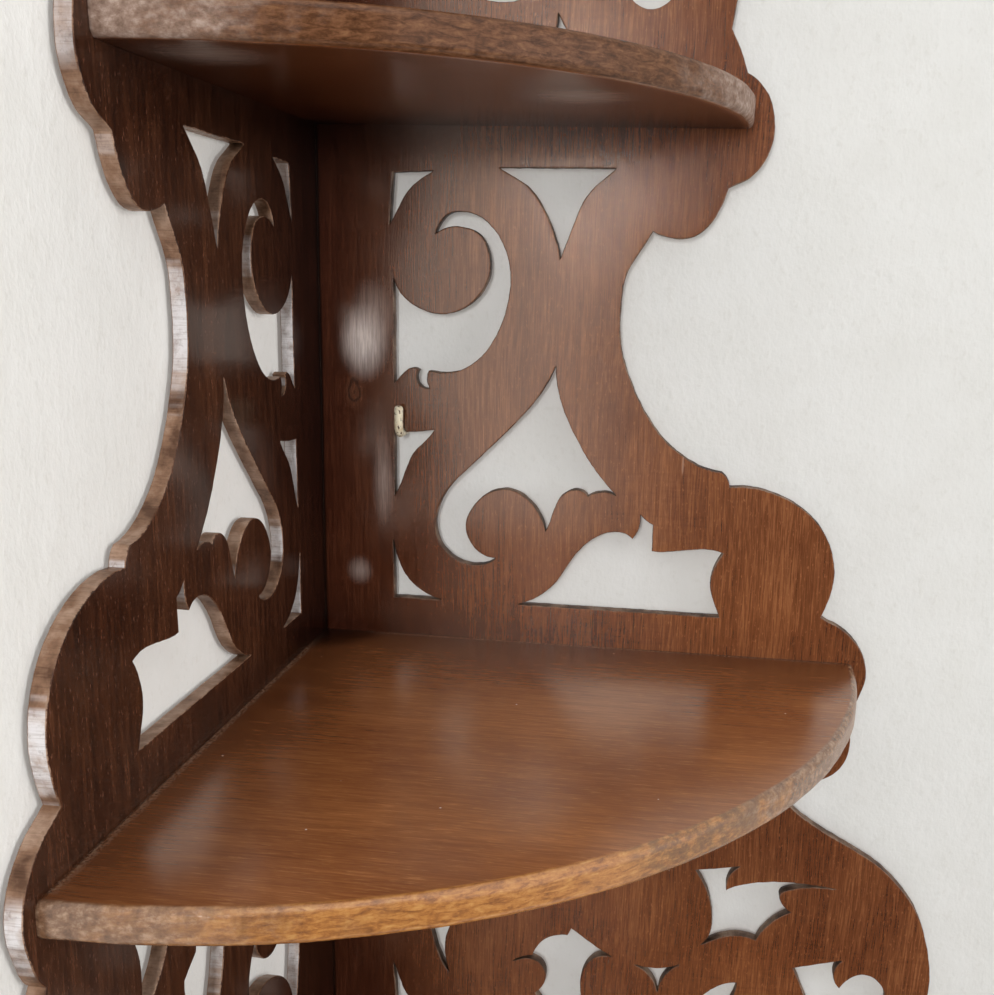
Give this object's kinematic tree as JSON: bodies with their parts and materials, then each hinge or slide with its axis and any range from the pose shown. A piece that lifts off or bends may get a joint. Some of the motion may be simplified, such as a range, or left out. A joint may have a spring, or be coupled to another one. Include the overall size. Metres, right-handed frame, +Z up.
{
  "type": "corner etagere",
  "caption": "Wall-hung corner etagere with fret-sawn back panels, quarter-round shelves that grow towards the foot, a crest, a pendant and a bent wall hook.",
  "frame": {"origin": "the line where the two wall planes meet, level with the lowest point of the pendant", "axes": "+Z up along the corner; +X outwards along the right wall, which is the plane y = 0; -Y outwards along the left wall, which is the plane x = 0"},
  "size_m": [0.3645, 0.3895, 1.1591],
  "materials": {
    "panel_wood": "dark red-brown stain under worn satin varnish",
    "shelf_wood": "red-brown stain under worn satin varnish, edges rubbed lighter",
    "screw_steel": "dulled steel with some rust",
    "hook_paint": "chipped cream paint over rusty steel"
  },
  "bodies": {
    "etagere": {"left_panel": "panel_wood", "right_panel": "panel_wood", "top_shelf": "shelf_wood", "upper_shelf": "shelf_wood", "middle_shelf": "shelf_wood", "lower_shelf": "shelf_wood", "top_screws_left": "screw_steel", "top_screws_right": "screw_steel", "upper_screws_left": "screw_steel", "upper_screws_right": "screw_steel", "middle_screws_left": "screw_steel", "middle_screws_right": "screw_steel", "lower_screws_left": "screw_steel", "lower_screws_right": "screw_steel", "corner_brads": "screw_steel"},
    "hook": {"wall_hook": "hook_paint"}
  },
  "joints": [
    {"name": "hook_turn", "type": "hinge", "parent": "etagere", "child": "hook", "pos_m": [0.04905, 0, 0.6115], "axis": [0, 1, 0], "range_deg": [0, 180]}
  ]
}
